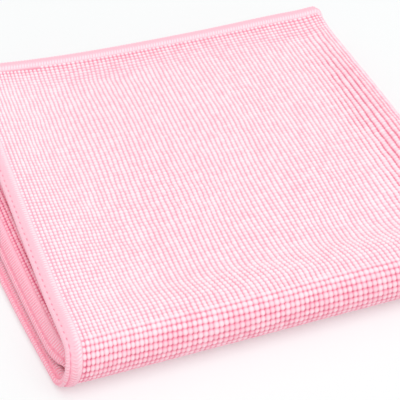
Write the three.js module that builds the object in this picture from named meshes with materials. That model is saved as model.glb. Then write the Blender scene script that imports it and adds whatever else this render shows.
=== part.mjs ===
// A square ribbed knit cleaning cloth folded in quarters, as one thickened sheet.
// It is folded in half at the right side, then in half again around the front.
// Millimetres, +Z up, +Y to the back, with the origin under the middle of the folded cloth.
import * as THREE from 'three';
import { mergeVertices } from 'three/addons/utils/BufferGeometryUtils.js';

// The folded cloth
const FOLDED_WIDTH = 150;
const FOLDED_DEPTH = 155;
const CLOTH_THICKNESS = 3.0;
const LEAF_GAP = 0.9;
const HALVES_GAP = 1.0;

// The overlocked hem all round: a smooth band that rounds down to its edge
const HEM_WIDTH = 5.2;
const HEM_ROUNDING = 3.6;
const HEM_STEPS = [0, 0.08, 0.35, 1];
const CORNER_RADIUS = 6;

// The ribs that run from the back hem to the front fold
const RIB_COUNT = 92;
const RIB_HEIGHT = 0.6;
const RIB_RISE = 1.5;

// The four leaves of the pile. For each: the x of its left hem beside the front fold, how far
// that hem drifts left for each mm towards the back, and how far its back hem stops short
const LEAVES = ['outerTop', 'innerTop', 'outerBottom', 'innerBottom'];
const LEAF_PLACES = {
  outerTop: { hemX: 1.4, drift: 0.024, backStep: 0 },
  innerTop: { hemX: -1.75, drift: 0.114, backStep: 0.8 },
  outerBottom: { hemX: -2.4, drift: 0.145, backStep: 1.5 },
  innerBottom: { hemX: 4.4, drift: 0.11, backStep: 2.0 },
};
const DRIFT_REACH = 90;
const DRIFT_FADE = 125;

// The inner top leaf's hem droops over the inner bottom leaf's, which is drawn in. The turn
// from one to the other starts before the front fold and ends past it
const HEM_DROOP = 3.2;
const DROOP_REACH = 9;
const DROOP_SHORTENING = 0.8;
const TURN_IN = 9;

// The inner pair of leaves is drawn back from the front fold at the left
const INNER_PULL = 1.6;
const PULL_REACH_X = 48;
const PULL_FROM_Y = 2;
const PULL_TO_Y = 28;

// Soft swells and hollows of the pile, in mm at its top. Power 1 is a round hill, and 2 has
// a flat top with steeper sides. A far reach makes a ridge that runs the whole way
const FAR = 1000;
const SWELLS = [
  { name: 'full front fold', x: 75, y: 6, reachX: FAR, reachY: 16, power: 2, rise: 2.2 },
  { name: 'full side fold', x: 150, y: 40, reachX: 12, reachY: 110, power: 2, rise: 2.8 },
  { name: 'left hems', x: -4, y: 70, reachX: 16, reachY: FAR, power: 1, rise: 1.0 },
  { name: 'back hem', x: 75, y: 159, reachX: FAR, reachY: 13, power: 1, rise: 3.0 },
  { name: 'raised back left corner', x: -8, y: 162, reachX: 40, reachY: 32, power: 1, rise: 3.8 },
  { name: 'back right, beside the fold', x: 132, y: 158, reachX: 24, reachY: 13, power: 1, rise: 0.9 },
  { name: 'dent behind the fold', x: 120, y: 30, reachX: 24, reachY: 11, power: 1, rise: -0.9 },
  { name: 'low middle', x: 62, y: 46, reachX: 40, reachY: 20, power: 1, rise: -0.5 },
  { name: 'slack in the middle', x: 52, y: 104, reachX: 30, reachY: 24, power: 1, rise: 0.5 },
];

// How finely the sheet is divided
const FIELD_ROWS = [0.08, 0.2, 0.42, 0.64, 0.8, 0.87, 0.94];
const PLAIN_ROWS = [0.3, 0.65];
const FRONT_FOLD_STEPS = 8;
const RIBBED_FOLD_STEPS = 6;
const SIDE_FOLD_STEPS = 8;
const PLAIN_COLUMNS = [0.08, 0.2, 0.36, 0.54, 0.72, 0.86, 0.95];

const CLOTH_PINK = '#ffc6d3';

// Heights of the leaves above the pile's middle, and the radii of the two folds
const INNER_LIFT = (HALVES_GAP + CLOTH_THICKNESS) / 2;
const OUTER_LIFT = INNER_LIFT + CLOTH_THICKNESS + LEAF_GAP;
const MIDDLE_HEIGHT = OUTER_LIFT + CLOTH_THICKNESS / 2;
const SIDE_RADIUS = (OUTER_LIFT - INNER_LIFT) / 2;
const FRONT_RADIUS = (OUTER_LIFT + INNER_LIFT) / 2;
const SIDE_START = FOLDED_WIDTH - SIDE_RADIUS - CLOTH_THICKNESS / 2;
const SIDE_END = SIDE_START + Math.PI * SIDE_RADIUS;
const FRONT_START = FOLDED_DEPTH - MIDDLE_HEIGHT;
const FRONT_END = FRONT_START + Math.PI * FRONT_RADIUS;
const RIB_PITCH = (SIDE_END - HEM_WIDTH) / RIB_COUNT;
const CLOTH_ACROSS = SIDE_START + SIDE_END;
const CLOTH_ALONG = FRONT_START + FRONT_END;

const { clamp, lerp, smoothstep } = THREE.MathUtils;
const FACE = { OUTER: 1, INNER: -1 };

// Distance from a place on the flat cloth to its nearest edge.
function edgeDistance(across, along) {
  return Math.min(across, CLOTH_ACROSS - across, along, CLOTH_ALONG - along);
}

// Rounds the flat cloth's four corners, easing the places beside them.
function roundCorner(across, along) {
  const middle = { across: CLOTH_ACROSS / 2, along: CLOTH_ALONG / 2 };
  const past = {
    across: Math.abs(across - middle.across) - (middle.across - CORNER_RADIUS),
    along: Math.abs(along - middle.along) - (middle.along - CORNER_RADIUS),
  };
  if (past.across <= 0 || past.along <= 0) {
    return { across, along };
  }
  const squeeze = Math.max(past.across, past.along) / Math.hypot(past.across, past.along);
  const inset = 1 - squeeze;
  return {
    across: across - Math.sign(across - middle.across) * past.across * inset,
    along: along - Math.sign(along - middle.along) * past.along * inset,
  };
}

// Share of the full rib height: none on the hem, under the pile or past the side fold.
function ribShare(across, along) {
  const fromHem = clamp((edgeDistance(across, along) - HEM_WIDTH) / RIB_RISE, 0, 1);
  const ribbedAlong = FRONT_START + (FRONT_END - FRONT_START) * RIBBED_FOLD_STEPS / FRONT_FOLD_STEPS;
  const beforeFloor = clamp((ribbedAlong - along) / RIB_RISE, 0, 1);
  const beforeSide = clamp((SIDE_END - across) / RIB_RISE, 0, 1);
  return fromHem * beforeFloor * beforeSide;
}

// Height of a face above or below the middle of the sheet.
function faceOffset(across, along, face) {
  const inside = clamp(edgeDistance(across, along) / HEM_ROUNDING, 0, 1);
  const half = CLOTH_THICKNESS / 2 * Math.sqrt(1 - (1 - inside) ** 2);
  if (face === FACE.INNER) {
    return -half;
  }
  const crest = (1 - Math.cos(2 * Math.PI * (across - HEM_WIDTH) / RIB_PITCH)) / 2;
  return half - RIB_HEIGHT * (1 - crest) * ribShare(across, along);
}

// Folds the cloth in half at the right side: x, and height above the pile's middle.
function foldAtSide(across, offset) {
  const turn = clamp((across - SIDE_START) / SIDE_RADIUS, 0, Math.PI);
  const run = across - SIDE_START - turn * SIDE_RADIUS;
  const radius = SIDE_RADIUS + offset;
  return {
    x: SIDE_START + radius * Math.sin(turn) + run * Math.cos(turn),
    lift: FRONT_RADIUS + radius * Math.cos(turn),
  };
}

// Folds the doubled cloth in half around the front: y and z.
function foldAtFront(along, lift) {
  const turn = clamp((along - FRONT_START) / FRONT_RADIUS, 0, Math.PI);
  const run = along - FRONT_START - turn * FRONT_RADIUS;
  return {
    y: MIDDLE_HEIGHT - lift * Math.sin(turn) - run * Math.cos(turn),
    z: MIDDLE_HEIGHT + lift * Math.cos(turn),
  };
}

// How far the inner pair has turned from its top leaf to its bottom one, from 0 to 1.
function innerTurn(along) {
  return smoothstep(along, FRONT_START - TURN_IN, FRONT_END + TURN_IN);
}

// Share of the full droop of the inner top leaf's hem.
function droopShare(across, along) {
  const fromHem = clamp((CLOTH_ACROSS - across) / DROOP_REACH, 0, 1);
  return (1 - fromHem) ** 2 * (1 - innerTurn(along));
}

// How far the inner pair is drawn back from the front fold.
function pullBack(across, x, y) {
  const inside = smoothstep(across, SIDE_START, SIDE_END);
  const beside = 1 - smoothstep(x, 0, PULL_REACH_X);
  return INNER_PULL * inside * beside * (1 - smoothstep(y, PULL_FROM_Y, PULL_TO_Y));
}

// Slides the leaves apart at the left and at the back, as they lie in the pile.
function slideLeaves(across, along, x, y) {
  const inside = smoothstep(across, SIDE_START, SIDE_END);
  const under = smoothstep(along, FRONT_START, FRONT_END);
  const places = LEAVES.map((leaf) => LEAF_PLACES[leaf]);
  const blend = (valueOf) => {
    const [outerTop, innerTop, outerBottom, innerBottom] = places.map(valueOf);
    const outer = lerp(outerTop, outerBottom, under);
    return lerp(outer, lerp(innerTop, innerBottom, innerTurn(along)), inside);
  };
  const backwards = DRIFT_REACH * Math.tanh(Math.max(y, 0) / DRIFT_REACH);
  const hemX = blend((leaf) => leaf.hemX - leaf.drift * backwards);
  const backStep = blend((leaf) => leaf.backStep);
  return {
    x: x + hemX * (1 - smoothstep(x, 0, DRIFT_FADE)),
    y: y - backStep * smoothstep(y, FOLDED_DEPTH / 2, FOLDED_DEPTH),
  };
}

// Swells and hollows lift the top of the pile and leave its underside flat.
function swellAt(x, y) {
  return SWELLS.reduce((sum, swell) => {
    const reach = ((x - swell.x) / swell.reachX) ** 2 + ((y - swell.y) / swell.reachY) ** 2;
    return sum + swell.rise * Math.exp(-(reach ** swell.power));
  }, 0);
}

// Place in the folded cloth of a spot on one face of the flat sheet.
function placeOnPile(flatAcross, flatAlong, face) {
  const offset = faceOffset(flatAcross, flatAlong, face);
  const { across, along } = roundCorner(flatAcross, flatAlong);
  const side = foldAtSide(across, offset);
  const front = foldAtFront(along, side.lift);
  const drooping = droopShare(across, along);
  const x = side.x + DROOP_SHORTENING * drooping;
  const slid = slideLeaves(across, along, x, front.y + pullBack(across, x, front.y));
  const z = front.z - HEM_DROOP * drooping;
  const height = 2 * MIDDLE_HEIGHT;
  return [slid.x, slid.y, z * (1 + swellAt(slid.x, slid.y) / height)];
}

// Even steps from one value to another, the last left out.
function steps(from, to, count) {
  return Array.from({ length: count }, (_, i) => lerp(from, to, i / count));
}

// Lines over the plain cloth between two places, at the given shares.
function between(from, to, shares) {
  return shares.map((share) => lerp(from, to, share));
}

const HEM_LINES = HEM_STEPS.map((share) => share * HEM_ROUNDING);

// Columns of a row from the outer leaf's left hem, over the side fold, to the inner leaf's.
function columns(ribbed) {
  const ribs = steps(HEM_WIDTH, SIDE_END, RIB_COUNT * 2);
  const plain = [
    HEM_WIDTH,
    ...between(HEM_WIDTH, SIDE_START, PLAIN_COLUMNS),
    ...steps(SIDE_START, SIDE_END, SIDE_FOLD_STEPS),
  ];
  return [
    ...HEM_LINES,
    ...(ribbed ? ribs : plain),
    SIDE_END,
    ...between(SIDE_END, CLOTH_ACROSS - HEM_WIDTH, PLAIN_COLUMNS),
    CLOTH_ACROSS - HEM_WIDTH,
    ...HEM_LINES.toReversed().map((line) => CLOTH_ACROSS - line),
  ];
}

// Rows of the sheet from the top back hem, around the front fold, to the bottom back hem.
function rows() {
  const ribbedFrom = HEM_WIDTH;
  const ribbedTo = lerp(FRONT_START, FRONT_END, RIBBED_FOLD_STEPS / FRONT_FOLD_STEPS);
  const lines = [
    ...HEM_LINES,
    HEM_WIDTH,
    HEM_WIDTH + RIB_RISE,
    ...between(HEM_WIDTH, FRONT_START, FIELD_ROWS),
    ...steps(FRONT_START, FRONT_END, FRONT_FOLD_STEPS),
    FRONT_END,
    ...between(FRONT_END, CLOTH_ALONG - HEM_WIDTH, PLAIN_ROWS),
    CLOTH_ALONG - HEM_WIDTH,
    ...HEM_LINES.toReversed().map((line) => CLOTH_ALONG - line),
  ];
  return lines.map((along) => ({ along, ribbed: along >= ribbedFrom && along <= ribbedTo }));
}

// Triangles between two rows that may have different columns.
function bridge(row, next, addTriangle) {
  let i = 0;
  let j = 0;
  while (i < row.length - 1 || j < next.length - 1) {
    const rowAhead = i < row.length - 1 ? row[i + 1].across : Infinity;
    const nextAhead = j < next.length - 1 ? next[j + 1].across : Infinity;
    if (rowAhead <= nextAhead) {
      addTriangle(row[i], row[i + 1], next[j]);
      i += 1;
    } else {
      addTriangle(row[i], next[j + 1], next[j]);
      j += 1;
    }
  }
}

// One face of the sheet, wound so that it looks away from the cloth.
function addFace(face, positions) {
  const addTriangle = (a, b, c) => {
    const corners = face === FACE.OUTER ? [a, c, b] : [a, b, c];
    corners.forEach((corner) => positions.push(...corner.place));
  };
  const grid = rows().map(({ along, ribbed }) =>
    columns(ribbed && face === FACE.OUTER).map((across) => ({
      across,
      place: placeOnPile(across, along, face),
    })));
  grid.slice(1).forEach((next, i) => bridge(grid[i], next, addTriangle));
}

// Both faces meet along the hem's edge, so together they close the sheet.
function foldedSheetGeometry() {
  const positions = [];
  addFace(FACE.OUTER, positions);
  addFace(FACE.INNER, positions);
  const soup = new THREE.BufferGeometry();
  soup.setAttribute('position', new THREE.Float32BufferAttribute(positions, 3));
  const sheet = mergeVertices(soup, 1e-4);
  sheet.computeBoundingBox();
  const middle = sheet.boundingBox.getCenter(new THREE.Vector3());
  sheet.translate(-middle.x, -middle.y, -sheet.boundingBox.min.z);
  sheet.computeVertexNormals();
  return sheet;
}

function foldedCloth() {
  const knit = new THREE.MeshStandardMaterial({ color: CLOTH_PINK, roughness: 0.95, metalness: 0 });
  const cloth = new THREE.Mesh(foldedSheetGeometry(), knit);
  cloth.name = 'folded_cloth';
  return cloth;
}

const part = new THREE.Group();
part.add(foldedCloth());

export default part;
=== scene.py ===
"""A pink ribbed knit cleaning cloth, folded in quarters and lying flat.

The cloth is one sheet. Its knit beads, hem threads and stitches are separate pieces that lie on it.
Sizes are in millimetres and are turned to metres where a mesh is made.
A Span holds a low and a high end, such as where a change starts and where it is complete.
"""

import logging
import math
from dataclasses import dataclass, field
from enum import Enum
from typing import Any

import bmesh
import bpy
import numpy as np
from mathutils import Matrix, Vector


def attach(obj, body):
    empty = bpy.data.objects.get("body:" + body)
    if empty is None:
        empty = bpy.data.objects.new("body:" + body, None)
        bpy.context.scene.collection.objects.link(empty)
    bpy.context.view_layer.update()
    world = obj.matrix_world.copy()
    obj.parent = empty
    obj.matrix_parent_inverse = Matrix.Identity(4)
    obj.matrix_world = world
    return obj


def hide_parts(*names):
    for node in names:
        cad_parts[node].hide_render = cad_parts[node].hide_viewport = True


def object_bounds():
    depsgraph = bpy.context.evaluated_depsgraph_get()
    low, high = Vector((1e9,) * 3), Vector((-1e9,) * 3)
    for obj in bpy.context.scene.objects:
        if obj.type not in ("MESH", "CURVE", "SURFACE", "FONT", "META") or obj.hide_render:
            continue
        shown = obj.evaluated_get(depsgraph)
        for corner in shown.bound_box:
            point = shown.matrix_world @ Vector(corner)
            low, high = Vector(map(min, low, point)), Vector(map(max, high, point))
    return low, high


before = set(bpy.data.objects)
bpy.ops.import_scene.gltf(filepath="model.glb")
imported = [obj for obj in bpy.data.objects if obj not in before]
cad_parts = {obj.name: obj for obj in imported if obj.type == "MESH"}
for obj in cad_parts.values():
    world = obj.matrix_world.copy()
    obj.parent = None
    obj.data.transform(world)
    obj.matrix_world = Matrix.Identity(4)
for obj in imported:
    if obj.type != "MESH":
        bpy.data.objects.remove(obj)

CAD_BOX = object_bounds()
NODE = "folded_cloth"
MM = 0.001
# A reach so long that a swell keeps its height that way
FAR = 1000.0
# A Mix node's colour sockets share their names with its other sockets, so they go by number
MIX_FIRST = 6
MIX_SECOND = 7
MIX_RESULT = 2

Array = np.ndarray
Span = tuple[float, float]
log = logging.getLogger("cloth")


class Face(Enum):
    """The two faces of the sheet: the outer one shows on top of the pile and under it."""

    OUTER = 1
    INNER = -1


class Edge(Enum):
    """The flat cloth's four edges, named for where they lie in the pile."""

    OUTER_LEAVES = 0
    INNER_LEAVES = 1
    TOP_BACK = 2
    BOTTOM_BACK = 3

    @property
    def beside_ribs(self) -> bool:
        """Whether the edge runs along the ribs."""
        return self in (Edge.OUTER_LEAVES, Edge.INNER_LEAVES)


@dataclass(frozen=True)
class Leaf:
    """Where one leaf of the pile lies: its left hem's x at the front, its drift and back step."""

    hem_x: float
    drift: float
    back_step: float


@dataclass(frozen=True)
class Swell:
    """A soft hill or hollow in the top of the pile, in mm."""

    x: float
    y: float
    reach_x: float
    reach_y: float
    power: int
    rise: float


def ease(value: Array, low: float, high: float) -> Array:
    """Goes smoothly from 0 at low to 1 at high.

    Args:
        value: The numbers to ease.
        low: Where the result starts to leave 0.
        high: Where the result reaches 1.

    Returns:
        The eased numbers, from 0 to 1.
    """
    share = np.clip((value - low) / (high - low), 0.0, 1.0)
    return share * share * (3.0 - 2.0 * share)


@dataclass(frozen=True)
class Wave:
    """A soft unevenness of the cloth: its height and usual length in mm, and the seed of its form."""

    height: float
    length: float
    seed: int
    sines: int = 5
    stretches: Span = (0.7, 1.5)

    def at(self, across: Array, along: Array) -> Array:
        """Adds up a few sines that run in seeded directions.

        Args:
            across: Places across the flat cloth.
            along: Places along the flat cloth.

        Returns:
            How far the cloth is moved there, in mm.
        """
        draw = np.random.default_rng(self.seed)
        total = np.zeros(np.broadcast(across, along).shape)
        for _ in range(self.sines):
            heading, phase = draw.uniform(0, math.tau, 2)
            stretch = draw.uniform(*self.stretches)
            travel = across * math.cos(heading) + along * math.sin(heading)
            total += np.sin(math.tau * travel / (self.length * stretch) + phase)
        return self.height * (total / math.sqrt(self.sines * 2.0))


@dataclass(frozen=True)
class FoldedForm:
    """The folded shape, as a map from the flat cloth. All sizes are in mm."""

    width: float = 150.0
    depth: float = 155.0
    thickness: float = 3.0
    leaf_gap: float = 0.9
    halves_gap: float = 1.0
    hem_rounding: float = 3.6
    corner_radius: float = 6.0
    turn_in: float = 9.0
    hem_droop: float = 4.8
    droop_reach: float = 10.0
    droop_shortening: float = 0.8
    inner_pull: float = 1.6
    pull_reach_x: float = 48.0
    pull_fades_y: Span = (2.0, 28.0)
    drift_reach: float = 90.0
    drift_fade: float = 125.0
    outer_top: Leaf = Leaf(1.4, 0.024, 0.0)
    inner_top: Leaf = Leaf(-1.75, 0.114, 0.8)
    outer_bottom: Leaf = Leaf(-2.4, 0.145, 1.5)
    inner_bottom: Leaf = Leaf(4.4, 0.11, 2.0)
    swells: tuple[Swell, ...] = (
        Swell(75, 6, FAR, 16, 2, 2.2),
        Swell(150, 40, 12, 110, 2, 2.8),
        Swell(-4, 70, 16, FAR, 1, 1.0),
        Swell(75, 159, FAR, 13, 1, 3.0),
        Swell(-8, 162, 40, 32, 1, 3.8),
        Swell(132, 158, 24, 13, 1, 0.9),
        Swell(120, 30, 24, 11, 1, -0.9),
        Swell(62, 46, 40, 20, 1, -0.5),
        Swell(52, 104, 30, 24, 1, 0.5),
    )
    nudge: float = 0.05

    @property
    def inner_lift(self) -> float:
        """Height of an inner leaf's middle above the middle of the pile."""
        return (self.halves_gap + self.thickness) / 2

    @property
    def outer_lift(self) -> float:
        """Height of an outer leaf's middle above the middle of the pile."""
        return self.inner_lift + self.thickness + self.leaf_gap

    @property
    def middle(self) -> float:
        """Height of the middle of the pile."""
        return self.outer_lift + self.thickness / 2

    @property
    def side_radius(self) -> float:
        """Radius of the side fold at the middle of the sheet."""
        return (self.outer_lift - self.inner_lift) / 2

    @property
    def front_radius(self) -> float:
        """Radius of the front fold where the cloth keeps its length."""
        return (self.outer_lift + self.inner_lift) / 2

    @property
    def side_start(self) -> float:
        """Place across the flat cloth where the side fold starts."""
        return self.width - self.side_radius - self.thickness / 2

    @property
    def side_end(self) -> float:
        """Place across the flat cloth where the side fold ends."""
        return self.side_start + math.pi * self.side_radius

    @property
    def front_start(self) -> float:
        """Place along the flat cloth where the front fold starts."""
        return self.depth - self.middle

    @property
    def front_end(self) -> float:
        """Place along the flat cloth where the front fold ends."""
        return self.front_start + math.pi * self.front_radius

    @property
    def across_size(self) -> float:
        """Width of the flat cloth."""
        return self.side_start + self.side_end

    @property
    def along_size(self) -> float:
        """Length of the flat cloth."""
        return self.front_start + self.front_end

    def shift(self) -> Array:
        """From the fold's own corner to the frame's origin, in mm."""
        low, high = CAD_BOX
        return np.array([high[0] / MM - self.width, low[1] / MM, 0.0])

    def edge_distance(self, across: Array, along: Array) -> Array:
        """Distance on the flat cloth to its nearest edge.

        Args:
            across: Places across the flat cloth.
            along: Places along the flat cloth.

        Returns:
            The distances in mm.
        """
        beside = np.minimum(across, self.across_size - across)
        ends = np.minimum(along, self.along_size - along)
        return np.minimum(beside, ends)

    def round_corner(self, across: Array, along: Array) -> tuple[Array, Array]:
        """Rounds the flat cloth's corners.

        Args:
            across: Places across the flat cloth.
            along: Places along the flat cloth.

        Returns:
            The same places, eased inwards beside a corner.
        """
        from_middle = across - self.across_size / 2
        from_centre = along - self.along_size / 2
        past_across = np.abs(from_middle) - (self.across_size / 2 - self.corner_radius)
        past_along = np.abs(from_centre) - (self.along_size / 2 - self.corner_radius)
        cornered = (past_across > 0) & (past_along > 0)
        reach = np.hypot(past_across, past_along)
        inset = 1 - np.maximum(past_across, past_along) / np.where(cornered, reach, 1.0)
        inset = np.where(cornered, inset, 0.0)
        return (
            across - np.sign(from_middle) * past_across * inset,
            along - np.sign(from_centre) * past_along * inset,
        )

    def blend_leaves(self, across: Array, along: Array, values: list[Array]) -> Array:
        """Mixes a value of the four leaves around both folds.

        Args:
            across: Places across the flat cloth.
            along: Places along the flat cloth.
            values: The value for the outer top, inner top, outer bottom and inner bottom leaf.

        Returns:
            The mixed value at each place.
        """
        inside = ease(across, self.side_start, self.side_end)
        under = ease(along, self.front_start, self.front_end)
        outer = values[0] + (values[2] - values[0]) * under
        inner = values[1] + (values[3] - values[1]) * self.inner_turn(along)
        return outer + (inner - outer) * inside

    def inner_turn(self, along: Array) -> Array:
        """How far the inner pair has turned from its top leaf to its bottom one, from 0 to 1."""
        return ease(along, self.front_start - self.turn_in, self.front_end + self.turn_in)

    def place(self, across: Array, along: Array, offset: Array) -> Array:
        """Puts places of the flat cloth where they lie in the folded one.

        Args:
            across: Places across the flat cloth, in mm.
            along: Places along the flat cloth, in mm.
            offset: Height above the middle of the sheet, in mm, positive on the outer face.

        Returns:
            Points in metres, in the frame.
        """
        turn = np.clip((across - self.side_start) / self.side_radius, 0.0, math.pi)
        run = across - self.side_start - turn * self.side_radius
        radius = self.side_radius + offset
        x = self.side_start + radius * np.sin(turn) + run * np.cos(turn)
        lift = self.front_radius + radius * np.cos(turn)

        turn = np.clip((along - self.front_start) / self.front_radius, 0.0, math.pi)
        run = along - self.front_start - turn * self.front_radius
        y = self.middle - lift * np.sin(turn) - run * np.cos(turn)
        z = self.middle + lift * np.cos(turn)

        drooping = self.droop(across, along)
        z = z - self.hem_droop * drooping
        x = x + self.droop_shortening * drooping
        y = y + self.pull_back(across, x, y)
        leaves = [self.outer_top, self.inner_top, self.outer_bottom, self.inner_bottom]
        backwards = self.drift_reach * np.tanh(np.maximum(y, 0.0) / self.drift_reach)
        hem_x = self.blend_leaves(across, along, [leaf.hem_x - leaf.drift * backwards for leaf in leaves])
        step = self.blend_leaves(across, along, [np.asarray(leaf.back_step) for leaf in leaves])
        x = x + hem_x * (1 - ease(x, 0.0, self.drift_fade))
        y = y - step * ease(y, self.depth / 2, self.depth)
        z = z * (1 + self.swell_at(x, y) / (2 * self.middle))
        return (np.stack([x, y, z], axis=-1) + self.shift()) * MM

    def droop(self, across: Array, along: Array) -> Array:
        """Share of the full droop: the second leaf's hem hangs over the third leaf's, which is drawn in."""
        from_hem = np.clip((self.across_size - across) / self.droop_reach, 0.0, 1.0)
        return (1 - from_hem) ** 2 * (1 - self.inner_turn(along))

    def pull_back(self, across: Array, x: Array, y: Array) -> Array:
        """How far the inner pair of leaves is drawn back from the front fold at the left.

        Args:
            across: Places across the flat cloth.
            x: The same places' x in the pile.
            y: The same places' y in the pile.

        Returns:
            The distances in mm.
        """
        inside = ease(across, self.side_start, self.side_end)
        beside = 1 - ease(x, 0.0, self.pull_reach_x)
        return self.inner_pull * inside * beside * (1 - ease(y, *self.pull_fades_y))

    def swell_at(self, x: Array, y: Array) -> Array:
        """Height that the swells add at the top of the pile.

        Args:
            x: The x of places in the pile.
            y: The y of the same places.

        Returns:
            The heights in mm.
        """
        total = np.zeros(np.shape(x))
        for swell in self.swells:
            reach = ((x - swell.x) / swell.reach_x) ** 2 + ((y - swell.y) / swell.reach_y) ** 2
            total = total + swell.rise * np.exp(-(reach**swell.power))
        return total

    def frames(self, across: Array, along: Array, offset: Array) -> tuple[Array, Array, Array]:
        """Places with the way the cloth lies there.

        Args:
            across: Places across the flat cloth, in mm.
            along: Places along the flat cloth, in mm.
            offset: Height above the middle of the sheet, in mm.

        Returns:
            Points in metres, then the vectors in mm that one mm across and one mm along becomes.
        """
        ways = []
        for aside, onward in ((self.nudge, 0.0), (0.0, self.nudge)):
            after = self.place(across + aside, along + onward, offset)
            before = self.place(across - aside, along - onward, offset)
            ways.append((after - before) / (2 * self.nudge * MM))
        return self.place(across, along, offset), ways[0], ways[1]


FORM = FoldedForm()


def linear(code: str) -> tuple[float, float, float, float]:
    """Turns an sRGB hex colour into linear red, green, blue and alpha.

    Args:
        code: The colour, such as "#ffc6d3".

    Returns:
        Linear values from 0 to 1.
    """
    parts = [int(code[i : i + 2], 16) / 255 for i in (1, 3, 5)]
    red, green, blue = (p / 12.92 if p <= 0.04045 else ((p + 0.055) / 1.055) ** 2.4 for p in parts)
    return (red, green, blue, 1.0)


def add_node(
    tree: bpy.types.NodeTree, kind: str, inputs: dict[Any, Any] | None = None, **settings: Any
) -> Any:
    """Adds a node with its settings and its inputs.

    Args:
        tree: The shader or geometry tree.
        kind: The node's Blender type.
        inputs: Values or sockets to link, by the input's name or number.
        settings: The node's own properties.

    Returns:
        The new node.
    """
    node = tree.nodes.new(kind)
    for name, value in settings.items():
        setattr(node, name, value)
    for key, value in (inputs or {}).items():
        if isinstance(value, bpy.types.NodeSocket):
            tree.links.new(value, node.inputs[key])
        else:
            node.inputs[key].default_value = value
    return node


def bare_material(name: str) -> bpy.types.Material:
    """Makes a material with an empty tree.

    Args:
        name: The material's name.

    Returns:
        The material, without any node.
    """
    made = bpy.data.materials.new(name)
    made.use_nodes = True
    made.node_tree.nodes.clear()
    return made


@dataclass(frozen=True)
class Skin:
    """A yarn's soft surface. Its fibres, in mm, are drawn coarser than they are, so that they show."""

    roughness: float
    sheen: float
    sheen_roughness: float
    specular: float
    fibre_size: float
    fibre_depth: float
    fibre_strength: float
    fibre_detail: float

    def cover(self, tree: bpy.types.NodeTree, colour: Any, place: bpy.types.NodeSocket) -> None:
        """Ends a material's tree with this surface.

        Args:
            tree: The material's tree.
            colour: The socket or the linear values that give the colour.
            place: The socket that gives the place of the fibres.
        """
        fibres = add_node(
            tree,
            "ShaderNodeTexNoise",
            {"Vector": place, "Scale": 1 / (self.fibre_size * MM), "Detail": self.fibre_detail},
        )
        bump = add_node(
            tree,
            "ShaderNodeBump",
            {
                "Height": fibres.outputs["Fac"],
                "Strength": self.fibre_strength,
                "Distance": self.fibre_depth * MM,
            },
        )
        skin = add_node(
            tree,
            "ShaderNodeBsdfPrincipled",
            {
                "Base Color": colour,
                "Roughness": self.roughness,
                "Sheen Weight": self.sheen,
                "Sheen Roughness": self.sheen_roughness,
                "Specular IOR Level": self.specular,
                "Normal": bump.outputs["Normal"],
            },
        )
        add_node(tree, "ShaderNodeOutputMaterial", {"Surface": skin.outputs["BSDF"]})


@dataclass(frozen=True)
class KnitFinish:
    """Microfibre chenille yarn, knitted in beads and matt. Each bead is coloured by its height: painted
    shade deepens the root and a painted highlight makes the tip pale.
    """

    name: str = "knitted_microfibre_beads"
    # Root and flank are painted shade where the beads meet; shoulder and tip are a painted highlight.
    root: str = "#f496b0"
    flank: str = "#ffc2d1"
    shoulder: str = "#ffe0e9"
    tip: str = "#ffeff4"
    root_at: float = 0.05
    flank_at: float = 0.4
    shoulder_at: float = 0.72
    tint_gain: float = 0.22
    skin: Skin = Skin(
        roughness=0.95,
        sheen=0.25,
        sheen_roughness=0.6,
        specular=0.15,
        fibre_size=0.35,
        fibre_depth=0.08,
        fibre_strength=0.35,
        fibre_detail=2.0,
    )

    def material(self) -> bpy.types.Material:
        """Makes the material of the beads.

        Returns:
            The material. It colours each bead by its crown height, painted shade at the root and a painted
            highlight at the tip, shifted by its tint.
        """
        made = bare_material(self.name)
        tree = made.node_tree
        crown, tint = (
            add_node(tree, "ShaderNodeAttribute", attribute_name=name).outputs["Fac"]
            for name in ("crown", "tint")
        )
        lifted = add_node(
            tree, "ShaderNodeMath", {0: tint, 1: self.tint_gain, 2: crown}, operation="MULTIPLY_ADD"
        )
        # Painted shade and highlight: deep pink low on the bead, where shade falls between beads, and pale
        # at the lit tip.
        ramp = add_node(tree, "ShaderNodeValToRGB", {"Fac": lifted.outputs[0]})
        stops = ramp.color_ramp.elements
        stops[0].position, stops[0].color = self.root_at, linear(self.root)
        stops[1].position, stops[1].color = 1.0, linear(self.tip)
        stops.new(self.flank_at).color = linear(self.flank)
        stops.new(self.shoulder_at).color = linear(self.shoulder)
        place = add_node(tree, "ShaderNodeTexCoord")
        self.skin.cover(tree, ramp.outputs["Color"], place.outputs["Object"])
        return made


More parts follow.
